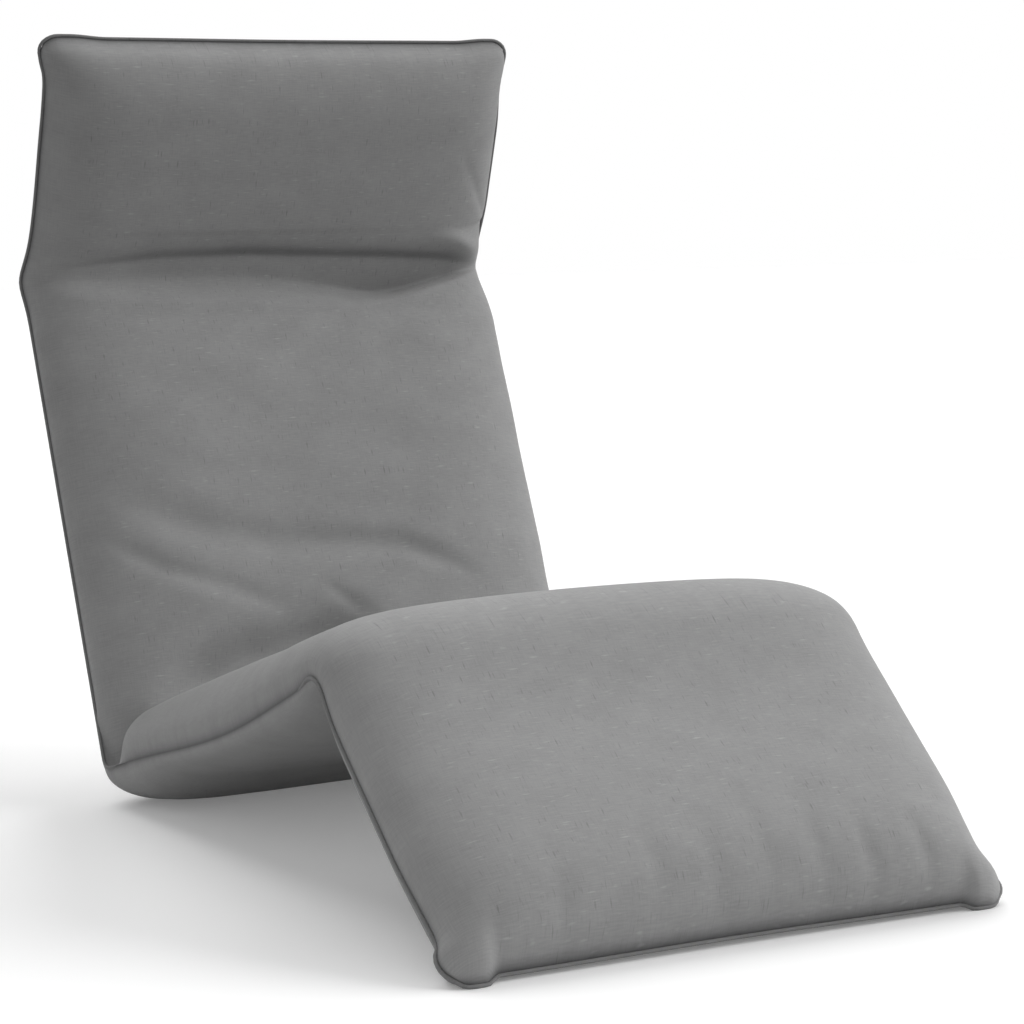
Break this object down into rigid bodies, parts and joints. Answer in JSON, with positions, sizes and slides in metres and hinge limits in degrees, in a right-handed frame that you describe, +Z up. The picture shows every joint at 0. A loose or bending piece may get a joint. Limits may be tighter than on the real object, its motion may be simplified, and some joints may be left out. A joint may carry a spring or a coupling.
{
  "type": "folding sun lounger",
  "caption": "Padded fabric floor lounger whose head, back, seat and leg rest fold at ratchet hinges in a hidden tube frame.",
  "frame": {"origin": "on the floor under the hip hinge axis, in the middle of the width", "axes": "+X to the right across the width as seen from the foot, +Y from foot to head, +Z up"},
  "size_m": [0.5988, 1.1333, 0.8517],
  "materials": {
    "cover_fabric": "mid grey linen-like weave",
    "piping_fabric": "darker grey covered cord",
    "pad_foam": "open-cell foam",
    "webbing_strap": "black woven strap",
    "frame_paint": "dark powder coat",
    "hinge_steel": "zinc plated",
    "spring_steel": "tempered"
  },
  "bodies": {
    "seat": {"seat_cover": "cover_fabric", "seat_foam_upper": "pad_foam", "seat_foam_lower": "pad_foam", "seat_webbing": "webbing_strap", "seat_piping_left": "piping_fabric", "seat_side_tube_left": "frame_paint", "hip_hinge_housing_left": "hinge_steel", "hip_pawl_spring_left": "spring_steel", "knee_hinge_housing_left": "hinge_steel", "knee_pawl_spring_left": "spring_steel", "seat_piping_right": "piping_fabric", "seat_side_tube_right": "frame_paint", "hip_hinge_housing_right": "hinge_steel", "hip_pawl_spring_right": "spring_steel", "knee_hinge_housing_right": "hinge_steel", "knee_pawl_spring_right": "spring_steel", "seat_cross_bar_rear": "frame_paint", "seat_cross_bar_front": "frame_paint", "hip_fold_cover": "cover_fabric", "knee_fold_cover": "cover_fabric"},
    "back": {"back_cover": "cover_fabric", "back_foam_upper": "pad_foam", "back_foam_lower": "pad_foam", "back_webbing": "webbing_strap", "back_piping_left": "piping_fabric", "back_side_tube_left": "frame_paint", "hip_ratchet_arm_left": "hinge_steel", "neck_hinge_housing_left": "hinge_steel", "neck_pawl_spring_left": "spring_steel", "back_piping_right": "piping_fabric", "back_side_tube_right": "frame_paint", "hip_ratchet_arm_right": "hinge_steel", "neck_hinge_housing_right": "hinge_steel", "neck_pawl_spring_right": "spring_steel", "back_cross_bar_lower": "frame_paint", "back_cross_bar_upper": "frame_paint", "neck_fold_cover": "cover_fabric"},
    "head": {"head_cover": "cover_fabric", "head_foam_upper": "pad_foam", "head_foam_lower": "pad_foam", "head_webbing": "webbing_strap", "head_piping": "piping_fabric", "head_frame_loop": "frame_paint", "neck_ratchet_arm_left": "hinge_steel", "neck_ratchet_arm_right": "hinge_steel"},
    "leg": {"leg_cover": "cover_fabric", "leg_foam_upper": "pad_foam", "leg_foam_lower": "pad_foam", "leg_webbing": "webbing_strap", "leg_piping": "piping_fabric", "leg_frame_loop": "frame_paint", "knee_ratchet_arm_left": "hinge_steel", "knee_ratchet_arm_right": "hinge_steel"},
    "hip_pawl_left": {"hip_pawl_left": "hinge_steel"},
    "hip_pawl_right": {"hip_pawl_right": "hinge_steel"},
    "neck_pawl_left": {"neck_pawl_left": "hinge_steel"},
    "neck_pawl_right": {"neck_pawl_right": "hinge_steel"},
    "knee_pawl_left": {"knee_pawl_left": "hinge_steel"},
    "knee_pawl_right": {"knee_pawl_right": "hinge_steel"}
  },
  "joints": [
    {"name": "hip_fold", "type": "hinge", "parent": "seat", "child": "back", "pos_m": [0, 0, 0.04], "axis": [1, 0, 0], "range_deg": [-84, 35], "deforming": ["hip_fold_cover"]},
    {"name": "neck_fold", "type": "hinge", "parent": "back", "child": "head", "pos_m": [0, 0.23592, 0.57313], "axis": [1, 0, 0], "range_deg": [-42, 49], "deforming": ["neck_fold_cover"]},
    {"name": "knee_fold", "type": "hinge", "parent": "seat", "child": "leg", "pos_m": [0, -0.57105, 0.22412], "axis": [1, 0, 0], "range_deg": [-56, 49], "deforming": ["knee_fold_cover"]},
    {"name": "hip_pawl_left_swing", "type": "hinge", "parent": "seat", "child": "hip_pawl_left", "pos_m": [-0.235, -0.01579, 0.0234], "axis": [1, 0, 0], "range_deg": [-8.5, 0], "stiffness_Nm_per_rad": 0.02, "deforming": ["hip_pawl_spring_left"]},
    {"name": "hip_pawl_right_swing", "type": "hinge", "parent": "seat", "child": "hip_pawl_right", "pos_m": [0.235, -0.01579, 0.0234], "axis": [1, 0, 0], "range_deg": [-8.5, 0], "stiffness_Nm_per_rad": 0.02, "deforming": ["hip_pawl_spring_right"]},
    {"name": "neck_pawl_left_swing", "type": "hinge", "parent": "back", "child": "neck_pawl_left", "pos_m": [-0.235, 0.25078, 0.55569], "axis": [1, 0, 0], "range_deg": [-8.5, 0], "stiffness_Nm_per_rad": 0.02, "deforming": ["neck_pawl_spring_left"]},
    {"name": "neck_pawl_right_swing", "type": "hinge", "parent": "back", "child": "neck_pawl_right", "pos_m": [0.235, 0.25078, 0.55569], "axis": [1, 0, 0], "range_deg": [-8.5, 0], "stiffness_Nm_per_rad": 0.02, "deforming": ["neck_pawl_spring_right"]},
    {"name": "knee_pawl_left_swing", "type": "hinge", "parent": "seat", "child": "knee_pawl_left", "pos_m": [-0.235, -0.55526, 0.24071], "axis": [1, 0, 0], "range_deg": [-8.5, 0], "stiffness_Nm_per_rad": 0.02, "deforming": ["knee_pawl_spring_left"]},
    {"name": "knee_pawl_right_swing", "type": "hinge", "parent": "seat", "child": "knee_pawl_right", "pos_m": [0.235, -0.55526, 0.24071], "axis": [1, 0, 0], "range_deg": [-8.5, 0], "stiffness_Nm_per_rad": 0.02, "deforming": ["knee_pawl_spring_right"]}
  ]
}
